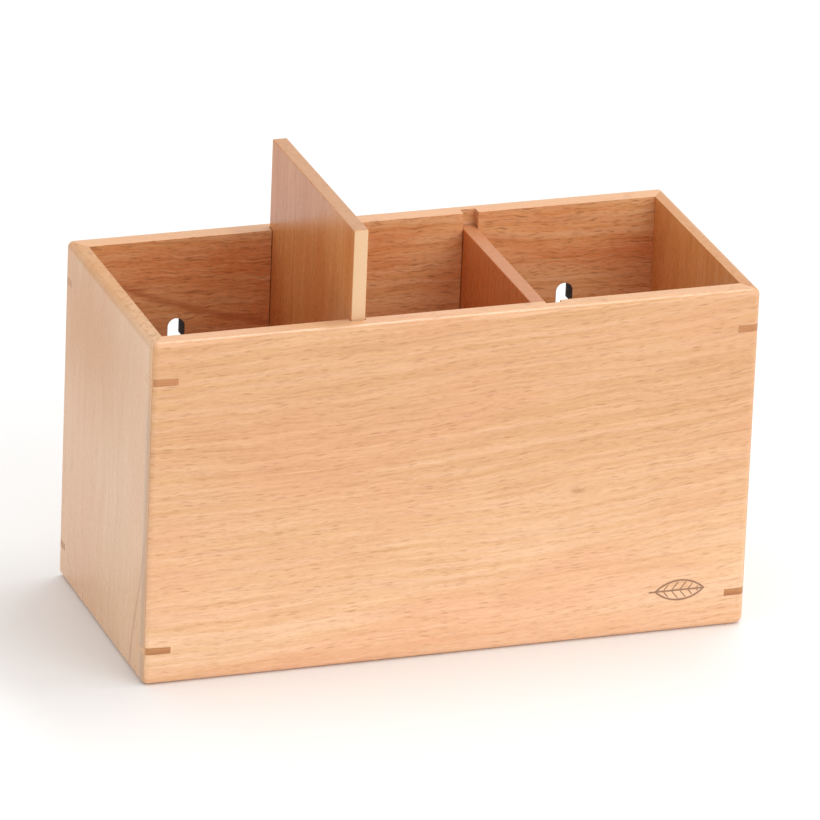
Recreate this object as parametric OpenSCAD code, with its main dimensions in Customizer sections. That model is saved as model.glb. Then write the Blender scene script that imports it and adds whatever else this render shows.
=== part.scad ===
// Three-compartment organizer box in solid beech.
// Four mitred boards with wooden corner keys, a base let into their grooves,
// and two thin dividers that slide up in grooves and lift out.
// Millimetres. Origin at the middle of the footprint, on the table. Front is -Y, top is +Z.

/* [Box] */
// Overall width, left to right
box_w = 210; // [180:1:260]
// Overall depth, front to back
box_d = 94; // [80:1:120]
// Height of the walls
box_h = 120.5; // [100:0.5:150]

/* [Boards] */
// Thickness of the front and back boards
long_t = 6.6; // [6:0.1:9]
// Thickness of the left and right end boards
end_t = 5.3; // [5:0.1:8]
// Radius of the rounded outer edges round the front and along the ends' tops and bottoms
edge_r = 2.5; // [1:0.1:3]
// Radius of the eased edges round the back
back_r = 0.6; // [0.3:0.1:1]

/* [Base] */
// Thickness of the base board
base_t = 5; // [4:0.5:8]
// Height of the base's underside above the table
base_lift = 3; // [2:0.5:6]
// How far the base's edge goes into each wall
base_tongue = 2.5; // [1.5:0.1:3]

/* [Dividers] */
// Thickness of a divider
divider_t = 5; // [3:0.1:6]
// Distance of the left divider's middle from the box's middle
left_divider_at = 33.4; // [25:0.1:45]
// Distance of the right divider's middle from the box's middle
right_divider_at = 34; // [25:0.1:45]
// Depth of the dividers' grooves in the front board
front_groove = 1.8; // [1:0.1:4]
// Depth of the dividers' grooves in the back board
back_groove = 3.5; // [2:0.1:4]
// Play between a divider and its groove, on each side
groove_play = 0.2; // [0.1:0.05:0.5]
// How far a seated divider's top lies below the rim
divider_drop = 5.6; // [2:0.1:20]
// How far the left divider is pulled up
left_raise = 36.9; // [0:0.1:60]

/* [Corner keys] */
// Thickness of a key
key_t = 2.4; // [1.5:0.1:4]
// Length of a key along the front or back, at the left corners
key_reach_left = 9.4; // [6:0.1:11]
// Length of a key along the front or back, at the right corners
key_reach_right = 7.6; // [6:0.1:11]
// Length of every key along the ends
key_reach_end = 5.6; // [4:0.1:10]
// Height of the upper keys' middles below the rim
key_top_inset = 13.6; // [8:0.1:30]
// Height of the lower keys' middles above the table
key_bottom_inset = 12.2; // [8:0.1:30]

/* [Hanging slots] */
// Distance between the two slots' middles
hang_pitch = 137.2; // [100:0.2:150]
// Width of a slot
hang_slot_w = 5.8; // [4:0.1:7]
// Height of a slot's round top above the table
hang_slot_top = 92; // [80:0.5:100]
// Radius of the hole at a slot's lower end that a screw's head goes through
hang_head_r = 5; // [4.5:0.1:6]
// Drop from a slot's upper centre to the middle of the head hole
hang_drop = 8.7; // [7:0.1:16]

/* [Hidden] */
$fn = 64;

half_w = box_w / 2;
half_d = box_d / 2;
// inside faces of the walls
in_x = half_w - end_t;
in_y = half_d - long_t;
// top of the base, where seated dividers stand
floor_z = base_lift + base_t;
divider_h = box_h - divider_drop - floor_z;
divider_l = 2 * in_y + front_groove + back_groove - 2 * groove_play;
groove_w = divider_t + 2 * groove_play;
// how far cutting tools run past the wood
over = 1;

front_wood = [0.93, 0.72, 0.55];
end_wood = [0.86, 0.68, 0.54];
inner_wood = [0.80, 0.55, 0.36];
key_wood = [0.72, 0.50, 0.33];

// What a radius r takes off an edge that runs along Z at the origin, with the wood in the -X -Y quarter.
module edge_waste(r, length) {
    translate([-r, -r, -over])
        difference() {
            cube([r + over, r + over, length + 2 * over]);
            translate([0, 0, -over]) cylinder(h = length + 4 * over, r = r);
        }
}

// What a radius r takes off a corner at the origin where three rounded edges meet.
module corner_waste(r) {
    translate([-r, -r, -r])
        difference() {
            cube(r + over);
            sphere(r = r);
        }
}

// Every outside edge's rounding, as the waste to cut from the walls.
module rounding_waste() {
    for (side = [0, 1])
        mirror([side, 0, 0]) {
            // upright front corner
            translate([half_w, -half_d, 0]) rotate([0, 0, -90]) edge_waste(edge_r, box_h);
            // upright back corner
            translate([half_w, half_d, 0]) edge_waste(back_r, box_h);
            // end's top and bottom edges
            translate([half_w, half_d, box_h]) rotate([90, 0, 0]) edge_waste(edge_r, box_d);
            translate([half_w, half_d, 0]) rotate([90, 90, 0]) edge_waste(edge_r, box_d);
            // front top and bottom corners
            translate([half_w, -half_d, box_h]) rotate([90, 0, 0]) corner_waste(edge_r);
            translate([half_w, -half_d, 0]) rotate([90, 90, 0]) corner_waste(edge_r);
        }
    // front top, front bottom and back top edges
    translate([-half_w, -half_d, box_h]) rotate([90, 0, 90]) rotate([0, 0, 90]) edge_waste(edge_r, box_w);
    translate([-half_w, -half_d, 0]) rotate([90, 0, 90]) rotate([0, 0, 180]) edge_waste(edge_r, box_w);
    translate([-half_w, half_d, box_h]) rotate([90, 0, 90]) edge_waste(back_r, box_w);
}

// A square-edged front board: mitred ends, with the front face at -half_d.
module long_board() {
    linear_extrude(box_h)
        polygon([[-half_w, -half_d], [half_w, -half_d], [in_x, -in_y], [-in_x, -in_y]]);
}

// A square-edged left board.
module end_board() {
    linear_extrude(box_h)
        polygon([[-half_w, -half_d], [-in_x, -in_y], [-in_x, in_y], [-half_w, half_d]]);
}

module base_board() {
    size = [2 * (in_x + base_tongue), 2 * (in_y + base_tongue), base_t];
    translate([-size.x / 2, -size.y / 2, base_lift]) cube(size);
}

module divider_grooves() {
    length = 2 * in_y + front_groove + back_groove;
    for (x = [-left_divider_at, right_divider_at])
        translate([x - groove_w / 2, -in_y - front_groove, floor_z])
            cube([groove_w, length, box_h]);
}

// Key-shaped holes through the back board: a screw's head goes in below and the box drops onto the shank.
module hanging_slots() {
    slot_r = hang_slot_w / 2;
    slot_z = hang_slot_top - slot_r;
    for (side = [-1, 1])
        translate([side * hang_pitch / 2, half_d + over, slot_z]) rotate([90, 0, 0]) {
            cylinder(h = long_t + 2 * over, r = slot_r);
            translate([0, -hang_drop, 0]) cylinder(h = long_t + 2 * over, r = hang_head_r);
            translate([-slot_r, -hang_drop, 0]) cube([hang_slot_w, hang_drop, long_t + 2 * over]);
        }
}

function key_reach(x_side) = x_side < 0 ? key_reach_left : key_reach_right;
function key_z(top) = top ? box_h - key_top_inset : key_bottom_inset;

// A square-edged key: a thin triangle laid across the corner on sides x_side and y_side.
module key_blank(x_side, y_side, top) {
    reach = key_reach(x_side);
    corner = [x_side * half_w, y_side * half_d];
    translate([0, 0, key_z(top) - key_t / 2])
        linear_extrude(key_t)
            polygon([corner, corner - [x_side * reach, 0], corner - [0, y_side * key_reach_end]]);
}

module all_key_blanks() {
    for (x_side = [-1, 1], y_side = [-1, 1], top = [false, true]) key_blank(x_side, y_side, top);
}

module corner_key(x_side, y_side, top) {
    color(key_wood)
        difference() {
            key_blank(x_side, y_side, top);
            rounding_waste();
        }
}

module front_panel() {
    color(front_wood)
        difference() {
            long_board();
            rounding_waste();
            base_board();
            divider_grooves();
            all_key_blanks();
        }
}

module back_panel() {
    color(inner_wood)
        difference() {
            mirror([0, 1, 0]) long_board();
            rounding_waste();
            base_board();
            divider_grooves();
            hanging_slots();
            all_key_blanks();
        }
}

module end_panel(x_side) {
    color(end_wood)
        difference() {
            mirror([x_side > 0 ? 1 : 0, 0, 0]) end_board();
            rounding_waste();
            base_board();
            all_key_blanks();
        }
}

module base_panel() {
    color(inner_wood) base_board();
}

module divider(x, raise) {
    color(inner_wood)
        translate([x - divider_t / 2, -in_y - front_groove + groove_play, floor_z + raise])
            cube([divider_t, divider_l, divider_h]);
}

front_panel();
back_panel();
end_panel(-1);  // left_end_panel
end_panel(1);  // right_end_panel
base_panel();
divider(-left_divider_at, left_raise);  // left_divider
divider(right_divider_at, 0);  // right_divider
corner_key(-1, -1, true);  // key_front_left_top
corner_key(-1, -1, false);  // key_front_left_bottom
corner_key(1, -1, true);  // key_front_right_top
corner_key(1, -1, false);  // key_front_right_bottom
corner_key(-1, 1, true);  // key_back_left_top
corner_key(-1, 1, false);  // key_back_left_bottom
corner_key(1, 1, true);  // key_back_right_top
corner_key(1, 1, false);  // key_back_right_bottom
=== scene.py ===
import bpy
import math
from mathutils import Matrix, Vector

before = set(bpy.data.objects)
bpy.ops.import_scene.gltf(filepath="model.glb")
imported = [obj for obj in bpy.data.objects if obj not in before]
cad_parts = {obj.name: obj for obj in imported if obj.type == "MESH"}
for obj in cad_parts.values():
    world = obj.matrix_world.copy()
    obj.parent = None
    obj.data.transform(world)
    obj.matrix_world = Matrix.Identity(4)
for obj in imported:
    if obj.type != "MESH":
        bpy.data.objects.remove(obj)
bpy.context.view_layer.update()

bpy.ops.object.select_all(action="DESELECT")
print("box loaded:", len(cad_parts), "pieces of wood")


class Wire:
    # one output of a node; the usual operators add the Math nodes
    def __init__(self, finish, socket):
        self.finish = finish
        self.socket = socket

    def out(self, name):  # another output of the same node
        return Wire(self.finish, self.socket.node.outputs[name])

    def __add__(self, other):
        return self.finish.maths("ADD", self, other)

    def __sub__(self, other):
        return self.finish.maths("SUBTRACT", self, other)

    def __rsub__(self, other):
        return self.finish.maths("SUBTRACT", other, self)

    def __mul__(self, other):
        return self.finish.maths("MULTIPLY", self, other)

    def __truediv__(self, other):
        return self.finish.maths("DIVIDE", self, other)

    def __pow__(self, other):
        return self.finish.maths("POWER", self, other)

    def __abs__(self):
        return self.finish.maths("ABSOLUTE", self)

    __radd__ = __add__
    __rmul__ = __mul__


class Finish:
    # a material and its node tree
    def __init__(self, name):
        self.material = bpy.data.materials.new(name)
        self.material.use_nodes = True
        self.tree = self.material.node_tree
        self.shader = self.tree.nodes["Principled BSDF"]
        self.bareShaded = 0.0  # 1 where the wood is left without lacquer and painted near-black as shade (the hanging slots)
        self.inside = 1.0  # 1 on a board's inner face, 0 on its outer one

    def node(self, kind, settings=None, sockets=None, output=0):
        made = self.tree.nodes.new(kind)
        for name, value in (settings or {}).items():
            setattr(made, name, value)
        self.fill(made, sockets or {})
        return Wire(self, made.outputs[output])

    def fill(self, made, sockets):  # each value is a Wire, or what the socket is set to
        for name, value in sockets.items():
            if isinstance(value, Wire):
                self.tree.links.new(value.socket, made.inputs[name])
            else:
                made.inputs[name].default_value = value

    def maths(self, operation, *values):
        return self.node("ShaderNodeMath", {"operation": operation}, dict(enumerate(values)))

    def point(self, *numbers):  # a place from its X, Y and Z, or from the first of them
        return self.node("ShaderNodeCombineXYZ", {}, dict(enumerate(numbers)))

    def mix(self, share, first, second, way="MIX"):
        return self.node("ShaderNodeMix", {"data_type": "RGBA", "blend_type": way},
                         {0: share, 6: first, 7: second}, 2)

    def step(self, value, low, high):  # 0 up to low, 1 from high on, soft between; falls where high < low
        if high < low:
            return 1 - self.step(value, high, low)
        return self.node("ShaderNodeMapRange", {"interpolation_type": "SMOOTHSTEP"},
                         {"Value": value, "From Min": low, "From Max": high})

    def noise(self, place, scale, detail=2.0, roughness=0.5):
        return self.node("ShaderNodeTexNoise", {},
                         {"Vector": place, "Scale": scale, "Detail": detail, "Roughness": roughness})

    def stretch(self, place, sizes):  # a pattern of these sizes in mm
        return self.node("ShaderNodeVectorMath", {"operation": "MULTIPLY"},
                         {0: place, 1: tuple(1 / size for size in sizes)})

    def waver(self, along, length, detail):  # -0.5 to 0.5, wandering along one line
        return self.noise(self.stretch(self.point(along), (length, 1, 1)), 1.0, detail) - 0.5


def paint(red, green, blue):  # a swatch's 0-255 numbers as a socket's colour
    shares = [number / 255 for number in (red, green, blue)]
    linear = [share / 12.92 if share < 0.04045 else ((share + 0.055) / 1.055) ** 2.4 for share in shares]
    return (*linear, 1.0)


# what all the boards share: sizes in mm, each noise's detail and roughness, each span's start and end,
# and the rest as shares
timber = {
    "startTilt": 0.7,                                   # how fast the start moves across the log
    "ringNoise": (2.0, 0.6), "ringDrift": 1.5, "ringEndPace": 0.5, "ringEndDrift": 1.2, "ringEndPower": 6,
    "swellNoise": (2.0, 0.55), "streakSize": (26, 0.85, 1.4), "streakNoise": (3.0, 0.65),
    "threadNoise": (2.0, 0.6), "patchSize": (80, 24, 40),
    "raySpread": 0.42, "fineRaySize": 0.55, "fineRaySpread": 0.4, "rayCore": 0.4, "rayJitter": 0.1,
    "rayChance": (0.1, 0.8), "fineRay": 0.6,
    "ringTone": 0.45, "swellTone": 0.55, "toneSpan": (0.36, 0.62),
    "blushSpan": (0.42, 0.7), "outerBlush": 0.4,        # blush that is left on an outer face
    "streakDark": (0.5, 0.74), "streakShine": (0.5, 0.26),
    "threadDark": (0.54, 0.76), "threadShine": (0.46, 0.24), "threadGlint": 0.6,
    "facing": (0.7, 0.97),                              # how squarely a face counts as an edge or an end
    "poreSize": (40, 0.8, 0.8), "poreSpan": (0.3, 0.12), "pore": 0.3,
    "mottleScale": 0.55, "mottleNoise": (2.0, 0.6), "mottleSpan": (0.46, 0.7),
    "streakHeight": 0.35, "threadDepth": 0.4, "threadHollow": (0.5, 0.85), "rayDepth": 0.5, "poreDepth": 0.5,
    "bumpDistance": 0.00006, "streakRough": 0.12, "rayRough": 0.06, "endRough": 0.1, "bareRough": 0.6,
    "bend": 1.5,                                        # the lacquer's index of refraction
}


def beech(name, look):
    # solid wood: every face of a board is a cut through the same log, so rims show end grain
    wood = Finish(name)
    place = wood.node("ShaderNodeTexCoord", output="Object")
    inMm = wood.node("ShaderNodeVectorMath", {"operation": "SCALE"}, {0: place, "Scale": 1000.0})
    own = wood.node("ShaderNodeSeparateXYZ", {}, {0: inMm})
    axes = {axis: own.out(axis) for axis in "XYZ"}
    along, across, through = (axes[axis] for axis in look["grain"])

    # the grain runs a little uphill and wanders
    drift = wood.noise(wood.stretch(inMm, look["wanderSize"]), scale=1.0, detail=1.0) - 0.5
    uphill = across - along * math.tan(math.radians(look["climb"])) - along * along * look["bow"]
    ripple = wood.noise(inMm, 1 / look["rippleSize"], detail=1.0) - 0.5
    level = uphill + drift * look["wander"] + ripple * look["ripple"]
    if "knot" in look:  # the grain parts round a pin knot
        knot = look["knot"]
        knotAlong = along - knot["place"][0]
        knotAcross = across - knot["place"][1]
        knotReach = (knotAlong * knotAlong * knot["long"] + knotAcross * knotAcross) ** 0.5
        level = level - wood.step(knotReach, knot["swirl"], 0.0) * knotAcross * knot["push"]
    grain = wood.point(along + look["start"], level + look["start"] * timber["startTilt"], through)

    # growth rings round a pith outside the board
    pithAcross, pithThrough = look["pith"]
    sideways = level - pithAcross
    deep = through - pithThrough
    radius = (sideways * sideways + deep * deep) ** 0.5
    ringPlace = radius / look["ringWidth"] + look["start"]
    ringDetail, ringRoughness = timber["ringNoise"]
    bands = wood.node("ShaderNodeTexNoise", {"noise_dimensions": "1D"},
                      {"W": ringPlace + drift * timber["ringDrift"], "Scale": 1.0,
                       "Detail": ringDetail, "Roughness": ringRoughness})
    ringEnd = wood.maths("FRACT", ringPlace * timber["ringEndPace"] + drift * timber["ringEndDrift"])
    ringEnd = ringEnd ** timber["ringEndPower"]

    # streaks, threads and rays, all long in the grain
    swell = wood.noise(wood.stretch(grain, look["swellSize"]), 1.0, *timber["swellNoise"])
    streaks = wood.noise(wood.stretch(grain, timber["streakSize"]), 1.0, *timber["streakNoise"])
    threads = wood.noise(wood.stretch(grain, look["threadSize"]), 1.0, *timber["threadNoise"])
    patches = wood.noise(wood.stretch(grain, timber["patchSize"]), 1.0)

    if "face" in look:
        axis, outer, inner = look["face"]
        wood.inside = wood.step(axes[axis], outer, inner)

    def raysOf(size, spread):
        cells = wood.node("ShaderNodeTexVoronoi", {}, {"Vector": wood.stretch(grain, size), "Scale": 1.0})
        chance = wood.node("ShaderNodeSeparateColor", {}, {0: cells.out("Color")})
        reach = cells + chance.out("Green") * timber["rayJitter"]
        return (wood.step(reach, spread, spread * timber["rayCore"])
                * wood.step(chance, *timber["rayChance"]))

    ray = raysOf(look["raySize"], timber["raySpread"])
    fineRay = raysOf(tuple(size * timber["fineRaySize"] for size in look["raySize"]), timber["fineRaySpread"])

    tone = wood.step(bands * timber["ringTone"] + swell * timber["swellTone"], *timber["toneSpan"])
    colour = wood.mix(tone, look["pale"], look["warm"])
    blushKept = wood.inside * (1 - timber["outerBlush"]) + timber["outerBlush"]
    blushing = wood.step(patches, *timber["blushSpan"]) * blushKept
    colour = wood.mix(blushing * look["patch"], colour, look["blush"])
    colour = wood.mix(ringEnd * look["ringLine"], colour, look["dark"])
    colour = wood.mix(wood.step(streaks, *timber["streakDark"]) * look["streak"], colour, look["dark"])
    colour = wood.mix(wood.step(streaks, *timber["streakShine"]) * look["streak"], colour, look["shine"])
    colour = wood.mix(wood.step(threads, *timber["threadDark"]) * look["thread"], colour, look["dark"])
    glint = wood.step(threads, *timber["threadShine"]) * look["thread"] * timber["threadGlint"]
    colour = wood.mix(glint, colour, look["shine"])
    colour = wood.mix(fineRay * look["ray"] * timber["fineRay"], colour, look["rayTone"])
    colour = wood.mix(ray * look["ray"], colour, look["rayTone"])

    if "face" in look:  # painted shade: the inner face keeps saturated tones that stand in for shade and bounced light inside the box, and the outer face is lifted back to plain wood
        colour = wood.mix(1 - wood.inside, colour, look["outerGain"], "MULTIPLY")

    # the board's edges and its end grain take the lacquer differently
    facing = wood.node("ShaderNodeSeparateXYZ", {}, {0: place.out("Normal")})
    endOn = wood.step(abs(facing.out(look["grain"][0])), *timber["facing"])
    edgeOn = wood.step(abs(facing.out(look["grain"][1])), *timber["facing"])
    colour = wood.mix(edgeOn * look["edge"], colour, look["edgeTone"])
    colour = wood.mix(endOn * look["end"], colour, look["endTone"])
    pores = wood.node("ShaderNodeTexVoronoi", {},
                      {"Vector": wood.stretch(grain, timber["poreSize"]), "Scale": 1.0})
    pore = wood.step(pores, *timber["poreSpan"]) * endOn
    mottle = wood.noise(inMm, timber["mottleScale"], *timber["mottleNoise"])
    cloudy = endOn * wood.step(mottle, *timber["mottleSpan"]) * look["mottle"]
    colour = wood.mix(cloudy, colour, look["rayTone"])
    colour = wood.mix(pore * timber["pore"], colour, look["rayTone"])
    if "knot" in look:
        core = wood.step(knotReach + drift, knot["size"], knot["size"] * knot["core"])
        colour = wood.mix(core * knot["share"], colour, look["rayTone"])
    for detail in look["details"]:
        colour = detail(wood, axes, colour, look)

    hollow = wood.step(threads, *timber["threadHollow"])
    height = (streaks * timber["streakHeight"] - hollow * timber["threadDepth"]
              - ray * timber["rayDepth"] - pore * timber["poreDepth"])
    bump = wood.node("ShaderNodeBump", {}, {"Height": height, "Distance": timber["bumpDistance"],
                                            "Strength": look["relief"]})
    rough = look["rough"] + streaks * timber["streakRough"] + ray * timber["rayRough"]
    wood.fill(wood.shader, {
        "Base Color": colour,
        "Roughness": rough + endOn * timber["endRough"] + wood.bareShaded * timber["bareRough"],
        "Normal": bump,
        "IOR": timber["bend"],
    })
    return wood.material


plainBeech = {
    "grain": "XZY",              # along, across and through the board
    "start": 0.0,                # where in the log the board starts, mm
    "climb": 0.0, "bow": 0.0,    # degrees, and how much that grows along the board
    "wander": 5.0, "wanderSize": (90, 40, 40), "ripple": 1.3, "rippleSize": 9.0,
    "pith": (0.0, 55.0), "ringWidth": 3.0,
    "swellSize": (60, 2.0, 4.0), "raySize": (6.5, 0.95, 9.0), "threadSize": (3.6, 0.42, 0.6),
    "pale": paint(226, 176, 133), "warm": paint(217, 165, 115), "blush": paint(222, 161, 118),
    "dark": paint(182, 126, 80), "shine": paint(240, 194, 149), "rayTone": paint(166, 108, 63),
    "edgeTone": paint(228, 176, 134), "endTone": paint(212, 162, 122),
    "patch": 0.8, "ringLine": 0.14, "streak": 0.4, "thread": 0.48, "ray": 0.42, "edge": 0.4, "end": 0.55,
    "mottle": 0.3, "relief": 0.35, "rough": 0.21,
    "details": (),               # what only this board shows, in the order that it is laid on
}


def burntLeaf(wood, axes, colour, look):
    # a small plain leaf burnt into the front, low on the right
    mark = look["leaf"]
    x = axes["X"] - mark["centre"][0]
    z = axes["Z"] - mark["centre"][1]
    half, rise = mark["halfLength"], mark["halfHeight"]
    arc = (half * half + rise * rise) / (2 * rise)
    drop = arc - rise
    upper = (x * x + (z + drop) * (z + drop)) ** 0.5 - arc
    lower = (x * x + (z - drop) * (z - drop)) ** 0.5 - arc
    rim = wood.maths("MAXIMUM", upper, lower)
    uneven = wood.noise(wood.point(x, z), mark["blotchScale"]) - 0.5
    wobble = uneven * mark["wobble"]
    line = mark["line"]
    core = line * mark["core"]
    outline = wood.step(abs(rim) + wobble, line, core)
    stalk = mark["stalk"] / 2
    rib = (wood.step(abs(z) + wobble, line, core)
           * wood.step(abs(x + stalk), half + stalk, half + stalk - mark["tip"]))
    slant = (x - abs(z) * mark["veinSlant"]) / mark["veinGap"]
    wave = abs(wood.maths("FRACT", slant + mark["veinStart"]) - 0.5)
    veinLine, veinCore = (line * share for share in mark["veinLine"])
    vein = (wood.step(wave * mark["veinGap"] + wobble, veinLine, veinCore)
            * wood.step(rim, *mark["veinInset"]))
    burn = wood.maths("MAXIMUM", wood.maths("MAXIMUM", outline, rib), vein)
    burn = burn * wood.step(axes["Y"], *mark["depth"])
    return wood.mix(burn * (mark["strength"] + uneven * mark["blotch"]), colour, mark["tone"])


def footBand(wood, axes, colour, look):
    # a warmer growth band along the bottom of the front
    band = look["foot"]
    wave = wood.waver(axes["X"], band["waveLength"], detail=1.0)
    top = axes["Z"] - wave * band["wave"] - axes["X"] * band["tilt"]
    low = wood.step(top, band["height"] + band["soft"], band["height"])
    return wood.mix(low * band["share"], colour, band["tone"])


def paintedBounceFoot(wood, axes, colour, look):
    # painted light: the front board is lightened towards its lower edge, standing in for light bounced up from
    # the floor
    low = look["low"]
    return wood.mix(wood.step(axes["Z"], low["from"], 0.0), colour, low["gain"], "MULTIPLY")


def heartBand(wood, axes, colour, look):
    # a narrow band of darker heartwood that dips across the left compartment's back wall
    band = look["heart"]
    x = axes["X"] - band["start"][0]
    place = wood.stretch(wood.point(x, axes["Z"]), band["waveSize"])
    wave = wood.noise(place, 1.0, *band["waveNoise"]) - 0.5
    middle = band["start"][1] - x * band["dip"] + x * x * band["lift"] + wave * band["wave"]
    near = wood.step(abs(axes["Z"] - middle), band["halfWidth"], 0.0)
    left = wood.step(axes["X"], *band["fade"]) * wood.inside
    below = wood.step(axes["Z"] - middle, 0.0, -band["tail"])
    colour = wood.mix(below * left * band["share"] * band["tailShare"], colour, band["tone"])
    return wood.mix(near * left * band["share"], colour, band["tone"])


def cornerSheenAndStreak(wood, axes, colour, look):
    # a grey line beside the left end's front corner, painted sheen for the glare along the rounded corner, and
    # a brown streak that leaves it lower down
    line = look["corner"]
    wave = wood.waver(axes["Z"], line["waveLength"], detail=2.0)
    y = axes["Y"] - line["greyAt"] - wave * line["wave"]
    high = wood.step(axes["Z"], line["top"], line["top"] - line["topSoft"])
    grey = wood.step(abs(y), line["greyHalf"], line["greyHalf"] * line["greyCore"]) * high
    colour = wood.mix(grey * line["greyShare"], colour, line["grey"])
    away = wood.step(axes["Z"], line["splayFrom"], 0.0) * line["splay"]
    brown = (wood.step(abs(y - away), line["brownHalf"], line["brownHalf"] * line["brownCore"])
             * wood.step(axes["Z"], *line["brownFrom"]))
    return wood.mix(brown * line["brownShare"], colour, line["brown"])


def paintedSheenLegs(wood, axes, colour, look):
    # painted sheen: where the keys show legs on the left end, they are tinted almost to that face's own pale
    # tone, standing in for the glare that washes them out
    legs = look["legs"]
    facing = wood.node("ShaderNodeSeparateXYZ", {}, {0: wood.node("ShaderNodeTexCoord", output="Normal")})
    leftward = wood.step(facing, *legs["leftward"])
    front = wood.step(axes["Y"], *legs["frontFrom"])
    blend = leftward * (legs["back"] + front * (legs["front"] - legs["back"]))
    return wood.mix(blend, colour, legs["tone"])


def paintedShadeSlots(wood, axes, colour, look):
    # the walls of the hanging slots and their head holes are painted near-black, partly the cutter's scorch and
    # partly painted shade for the deep shadow inside them, and left bare
    slots = look["slots"]
    sideways = abs(abs(axes["X"]) - slots["fromMiddle"])
    aboveTop = wood.maths("MAXIMUM", axes["Z"] - slots["top"], 0.0)
    belowTop = wood.maths("MAXIMUM", slots["head"] - axes["Z"], 0.0)
    fromHead = axes["Z"] - slots["head"]
    fromSlot = (sideways * sideways + aboveTop * aboveTop + belowTop * belowTop) ** 0.5
    slotReach = fromSlot - slots["halfWidth"]
    headReach = (sideways * sideways + fromHead * fromHead) ** 0.5 - slots["headRadius"]
    reach = wood.maths("MINIMUM", slotReach, headReach)
    wood.bareShaded = wood.step(reach, *slots["fade"])
    return wood.mix(wood.bareShaded * slots["share"], colour, slots["tone"])


def paintedSheenGap(wood, axes, colour, look):
    # painted reflection: a deeper, more orange tone high on the left end, fading out all round, stands in for
    # where the face's sheen of reflected floor gives out
    tint = look["tint"]
    y = (axes["Y"] - tint["centre"][0]) / tint["reach"][0]
    z = (axes["Z"] - tint["centre"][1]) / tint["reach"][1]
    place = wood.point(axes["Y"], axes["Z"] * tint["raggedStretch"])
    ragged = wood.noise(place, tint["raggedScale"], detail=3.0) - 0.5
    cloud = wood.step((y * y + z * z) ** 0.5 + ragged * tint["ragged"], *tint["fade"])
    return wood.mix(cloud * tint["share"], colour, tint["tone"])


frontLook = {
    **plainBeech,
    "climb": 3.4, "bow": 0.00016, "pith": (8.0, 4.0), "ringWidth": 3.1,
    "knot": {"place": (43.8, 54.5), "size": 1.5, "core": 0.2, "share": 0.55,
             "long": 0.16, "swirl": 7.0, "push": 0.75},
    "leaf": {"centre": (81.5, 15.0), "halfLength": 8.5, "halfHeight": 3.5, "stalk": 2.6, "tip": 0.5,
             "line": 0.46, "core": 0.4, "wobble": 0.3, "blotchScale": 1.6, "blotch": 0.5,
             "veinGap": 2.9, "veinSlant": 0.8, "veinStart": 20.5, "veinLine": (0.85, 0.3),
             "veinInset": (-0.35, -0.75), "depth": (-46.6, -46.8), "tone": paint(98, 56, 32), "strength": 0.75},
    "foot": {"height": 6.0, "soft": 2.5, "wave": 9.0, "waveLength": 46, "tilt": 0.02, "share": 0.22,
             "tone": paint(222, 150, 104)},
    # painted light: the low entry lightens the front towards its foot, for light bounced up from the floor
    "low": {"from": 92.0, "gain": (1.18, 1.3, 1.48, 1.0)}, "patch": 0.6,
    "details": (paintedBounceFoot, footBand, burntLeaf),
}
backLook = {
    **plainBeech, "start": 310.0, "climb": -2.0, "pith": (-10.0, 120.0),
    # painted shade: these tones are saturated for the shaded inner face; the outer face's gain lifts it back to
    # plain wood
    "face": ("Y", 46.0, 42.0), "outerGain": (0.86, 1.0, 1.16, 1.0),
    "ripple": 2.6, "rippleSize": 8.0, "patch": 0.85,
    "pale": paint(247, 196, 146), "warm": paint(240, 180, 121), "blush": paint(226, 138, 80),
    "dark": paint(168, 98, 52), "shine": paint(252, 210, 160), "rayTone": paint(138, 78, 40),
    "edgeTone": paint(222, 168, 124), "edge": 0.8, "streak": 0.5, "thread": 0.62, "ray": 0.5,
    "heart": {"start": (-99.0, 110.3), "dip": 0.53, "lift": 0.0028, "halfWidth": 2.4,
              "waveSize": (9, 2.5, 1), "waveNoise": (3.0, 0.65), "wave": 5.0, "fade": (-20.0, -45.0),
              "tail": 14.0, "tailShare": 0.45, "share": 0.5, "tone": paint(176, 84, 44)},
    # painted shade: the slot walls and head holes are painted near-black
    "slots": {"fromMiddle": 68.6, "halfWidth": 2.9, "top": 89.1, "head": 80.4, "headRadius": 5.0,
              "fade": (0.16, 0.03), "share": 0.96, "tone": paint(30, 22, 17)},
    "details": (heartBand, paintedShadeSlots),
}
leftEndLook = {
    **plainBeech, "grain": "ZYX", "start": 620.0, "climb": 0.6, "pith": (-30.0, -40.0), "ringWidth": 2.6,
    "pale": paint(231, 188, 150), "warm": paint(224, 180, 138), "blush": paint(226, 176, 136),
    "streak": 0.16, "thread": 0.08, "ray": 0.14, "mottle": 0.6, "endTone": paint(204, 160, 112),
    # painted reflection: a deeper tone high on the left face where its sheen gives out
    "tint": {"centre": (22.0, 101.0), "reach": (60.0, 36.0), "fade": (1.32, 0.02), "ragged": 0.7,
             "raggedScale": 0.11, "raggedStretch": 0.25, "share": 0.9, "tone": paint(206, 144, 84)},
    # painted sheen: the grey line by the front corner stands in for glare on the rounded edge
    "corner": {"greyAt": -44.6, "greyHalf": 2.4, "greyCore": 0.3, "greyShare": 0.34,
               "grey": paint(158, 142, 134), "top": 108.0, "topSoft": 18.0, "wave": 0.6, "waveLength": 17,
               "splay": 12.0, "splayFrom": 52.0, "brownFrom": (56.0, 40.0), "brownHalf": 1.3,
               "brownCore": 0.2, "brownShare": 0.34, "brown": paint(158, 104, 76)},
    "details": (paintedSheenGap, cornerSheenAndStreak),
}
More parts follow.
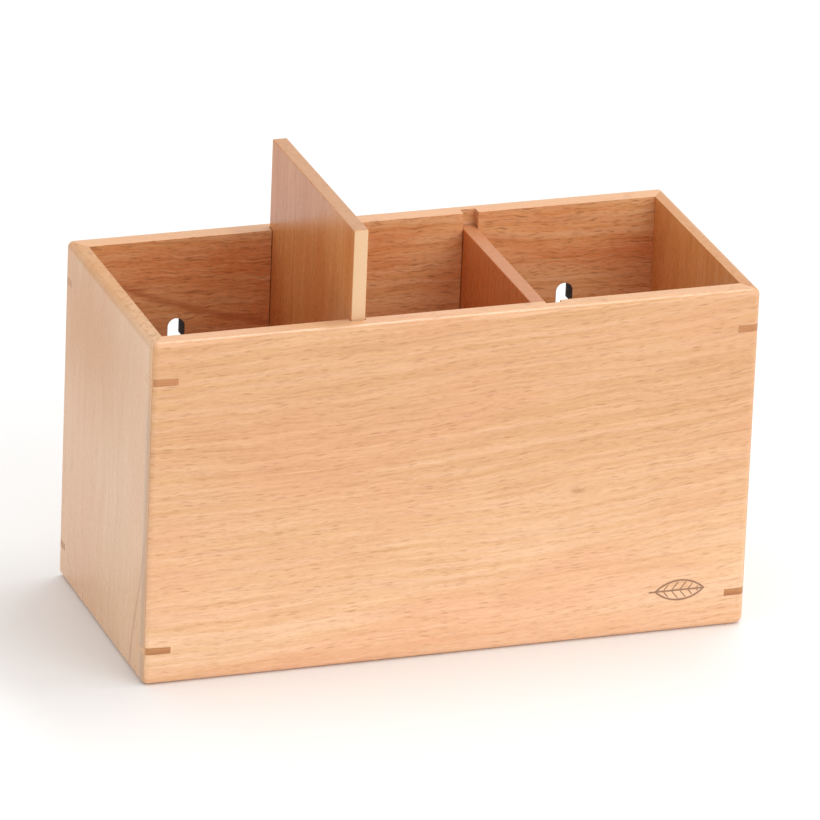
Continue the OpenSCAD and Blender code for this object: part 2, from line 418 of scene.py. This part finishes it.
rightEndLook = {
    # painted shade: these tones are deep and saturated for the shaded inner face; the outer face's gain lifts
    # it back to plain wood
    **plainBeech, "face": ("X", 104.0, 101.5), "outerGain": (0.95, 1.15, 1.75, 1.0),
    "grain": "ZYX", "start": 935.0, "climb": -0.8, "pith": (20.0, 60.0), "ringWidth": 2.8,
    "pale": paint(230, 164, 102), "warm": paint(222, 152, 80), "blush": paint(216, 138, 72),
    "dark": paint(172, 102, 50), "endTone": paint(192, 140, 98), "streak": 0.16, "thread": 0.12, "ray": 0.16,
}
baseLook = {**plainBeech, "grain": "XYZ", "start": 1260.0, "pith": (20.0, 60.0)}
dividerLook = {
    **plainBeech, "grain": "ZYX", "ringWidth": 2.4,
    "pale": paint(219, 148, 90), "warm": paint(208, 134, 72), "blush": paint(204, 122, 64),
    "dark": paint(164, 98, 54), "edgeTone": paint(227, 193, 153), "endTone": paint(196, 150, 112), "end": 0.8,
    "streak": 0.14, "thread": 0.1, "ray": 0.12, "edge": 0.8,
}
leftDividerLook = {**dividerLook, "start": 1510.0, "pith": (-25.0, -60.0)}
rightDividerLook = {**dividerLook, "start": 1830.0, "pith": (30.0, 40.0), "pale": paint(218, 134, 76),
                    "warm": paint(208, 122, 64), "endTone": paint(194, 132, 92)}
keyLook = {
    **plainBeech, "start": 2140.0, "ringWidth": 1.6, "wander": 1.0,
    "pale": paint(196, 137, 85), "warm": paint(184, 123, 72), "blush": paint(190, 126, 78),
    "dark": paint(146, 90, 50), "shine": paint(210, 154, 104), "ray": 0.2, "edge": 0.0, "end": 0.0,
    # painted sheen: the key legs on the left end fade to that face's pale tone
    "legs": {"front": 0.9, "back": 0.2, "frontFrom": (0.0, -5.0), "leftward": (-0.5, -0.85),
             "tone": paint(226, 182, 142)},
    "details": (paintedSheenLegs,),
}

easing = {  # metres and degrees
    "case": 0.00014, "divider": 0.0004, "key": 0.00008,  # how wide each kind's edges are eased
    "segments": 2, "weld": 0.00001, "flat": 0.6, "sharp": 32,
}


def finishNode(name, material, kind):
    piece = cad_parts[name]
    piece.data.materials.clear()
    piece.data.materials.append(material)
    bpy.ops.object.select_all(action="DESELECT")
    piece.select_set(True)
    bpy.context.view_layer.objects.active = piece
    bpy.ops.object.shade_smooth()
    weld = piece.modifiers.new("join triangles", "WELD")
    weld.merge_threshold = easing["weld"]
    plain = piece.modifiers.new("plain faces", "DECIMATE")
    plain.decimate_type = "DISSOLVE"
    plain.angle_limit = math.radians(easing["flat"])
    ease = piece.modifiers.new("eased edges", "BEVEL")
    ease.width = easing[kind]
    ease.segments = easing["segments"]
    ease.limit_method = "ANGLE"
    ease.angle_limit = math.radians(easing["sharp"])
    even = piece.modifiers.new("even shading", "WEIGHTED_NORMAL")
    even.keep_sharp = True
    piece.select_set(False)


finishNode("front_panel", beech("front board beech", frontLook), "case")
finishNode("back_panel", beech("back board beech", backLook), "case")
finishNode("left_end_panel", beech("left end beech", leftEndLook), "case")
finishNode("right_end_panel", beech("right end beech", rightEndLook), "case")
finishNode("base_panel", beech("base beech", baseLook), "case")
finishNode("left_divider", beech("left divider beech", leftDividerLook), "divider")
finishNode("right_divider", beech("right divider beech", rightDividerLook), "divider")
keyFinish = beech("corner key wood", keyLook)
for end in ("front", "back"):
    for side in ("left", "right"):
        for height in ("top", "bottom"):
            finishNode(f"key_{end}_{side}_{height}", keyFinish, "key")
print("boards, dividers and keys have their finishes")

# the floor, the light and the camera
studio = {
    "floorSize": 12.0, "floorTop": -0.0001, "floorTone": (0.93, 0.93, 0.925, 1.0),
    "floorRough": 0.55, "floorSpeckle": 3.0, "floorUneven": 0.05, "boxMiddle": (0, 0, 0.06025),
    "skyTone": (1.0, 1.0, 1.0, 1.0), "skyStrength": 0.845,
    "keyPlace": (0.75, -1.2, 0.85), "keySize": (1.1, 1.1), "keyPower": 7.5,
    "topPlace": (0.47, 0.15, 1.48), "topSize": (0.16, 1.0), "topPower": 6.8,
}

bpy.ops.mesh.primitive_plane_add(size=studio["floorSize"], location=(0, 0, studio["floorTop"]))
floor = bpy.context.object
floor.name = "studioFloor"
floorFinish = Finish("studio floor")
floorPlace = floorFinish.node("ShaderNodeTexCoord", output="Object")
speckle = floorFinish.noise(floorPlace, studio["floorSpeckle"])
floorFinish.fill(floorFinish.shader, {
    "Base Color": studio["floorTone"],
    "Roughness": studio["floorRough"] + speckle * studio["floorUneven"],
})
floor.data.materials.append(floorFinish.material)

world = bpy.data.worlds.new("soft studio")
bpy.context.scene.world = world
world.use_nodes = True
sky = world.node_tree.nodes["Background"]
sky.inputs["Color"].default_value = studio["skyTone"]
sky.inputs["Strength"].default_value = studio["skyStrength"]

boxCentre = Vector(studio["boxMiddle"])
for name in ("key", "top"):
    bpy.ops.object.light_add(type="AREA", location=studio[name + "Place"])
    softBox = bpy.context.object
    softBox.name = name + "SoftBox"
    softBox.data.shape = "RECTANGLE"
    softBox.data.size_y, softBox.data.size = studio[name + "Size"]
    softBox.data.energy = studio[name + "Power"]
    softBox.rotation_euler = (softBox.location - boxCentre).to_track_quat("Z", "Y").to_euler()
    print(name, "light is up")

view = {  # degrees, metres, and millimetres for the lens and the sensor
    "turn": -19.68, "height": 22.486, "roll": 2.344, "distance": 2.9864, "slide": (0.000981, 0.007758),
    "lens": 394.69, "sensor": 36.0, "farthest": 50.0,
}
turn, tall, roll = (math.radians(view[k]) for k in ("turn", "height", "roll"))
back = Vector((math.sin(turn) * math.cos(tall), -math.cos(turn) * math.cos(tall), math.sin(tall)))
right = (-back).cross(Vector((0, 0, 1))).normalized()
up = right.cross(-back)
rightRolled = right * math.cos(roll) + up * math.sin(roll)
upRolled = up * math.cos(roll) - right * math.sin(roll)
spot = boxCentre + back * view["distance"] + rightRolled * view["slide"][0] + upRolled * view["slide"][1]
bpy.ops.object.camera_add()
camera = bpy.context.object
camera.name = "studioCamera"
camera.matrix_world = Matrix((rightRolled, upRolled, back)).transposed().to_4x4()
camera.location = spot
camera.data.lens = view["lens"]
camera.data.sensor_width = view["sensor"]
camera.data.clip_end = view["farthest"]
bpy.context.scene.camera = camera
bpy.context.scene.view_settings.view_transform = "Standard"
print("floor, light and camera are set")
